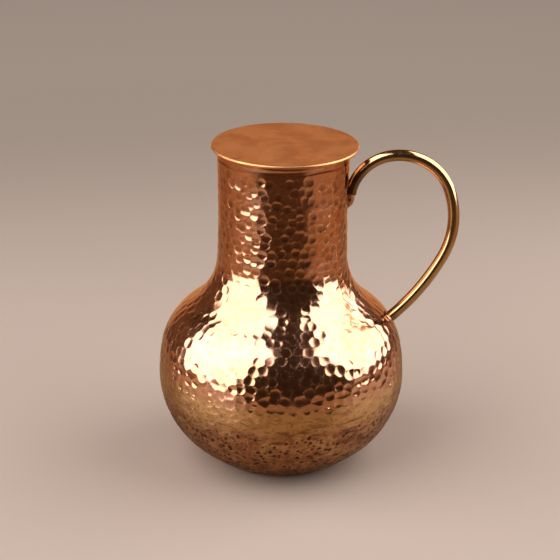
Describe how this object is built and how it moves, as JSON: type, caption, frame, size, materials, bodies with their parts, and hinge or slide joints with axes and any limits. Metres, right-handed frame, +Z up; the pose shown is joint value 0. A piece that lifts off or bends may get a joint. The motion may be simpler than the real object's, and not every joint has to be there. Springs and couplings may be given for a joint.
{
  "type": "water jug",
  "caption": "Round-bellied hammered copper water jug with a straight neck, a bent brass rod handle and a flat lift-off lid.",
  "frame": {"origin": "centre of the flat base, on the surface that the jug stands on", "axes": "+Z up through the mouth, +X towards the handle, so the handle lies in the XZ plane"},
  "size_m": [0.1927, 0.16, 0.2136],
  "materials": {
    "hammered_copper": "polished, hammered all over",
    "seam_brass": "polished, hammered smooth",
    "handle_brass": "polished",
    "joint_brass": "as brazed, dull",
    "lid_copper": "satin"
  },
  "bodies": {
    "jug": {"lower_bowl": "hammered_copper", "upper_body": "hammered_copper", "belly_seam_braze": "seam_brass", "handle_rod": "handle_brass", "handle_upper_braze": "joint_brass", "handle_lower_braze": "joint_brass"},
    "lid": {"lid_disc": "lid_copper", "lid_collar": "lid_copper", "lid_collar_braze": "joint_brass"}
  },
  "joints": [
    {"name": "lid_lift", "type": "slide", "parent": "jug", "child": "lid", "axis": [0, 0, 1], "range_m": [0, 0.12]}
  ]
}
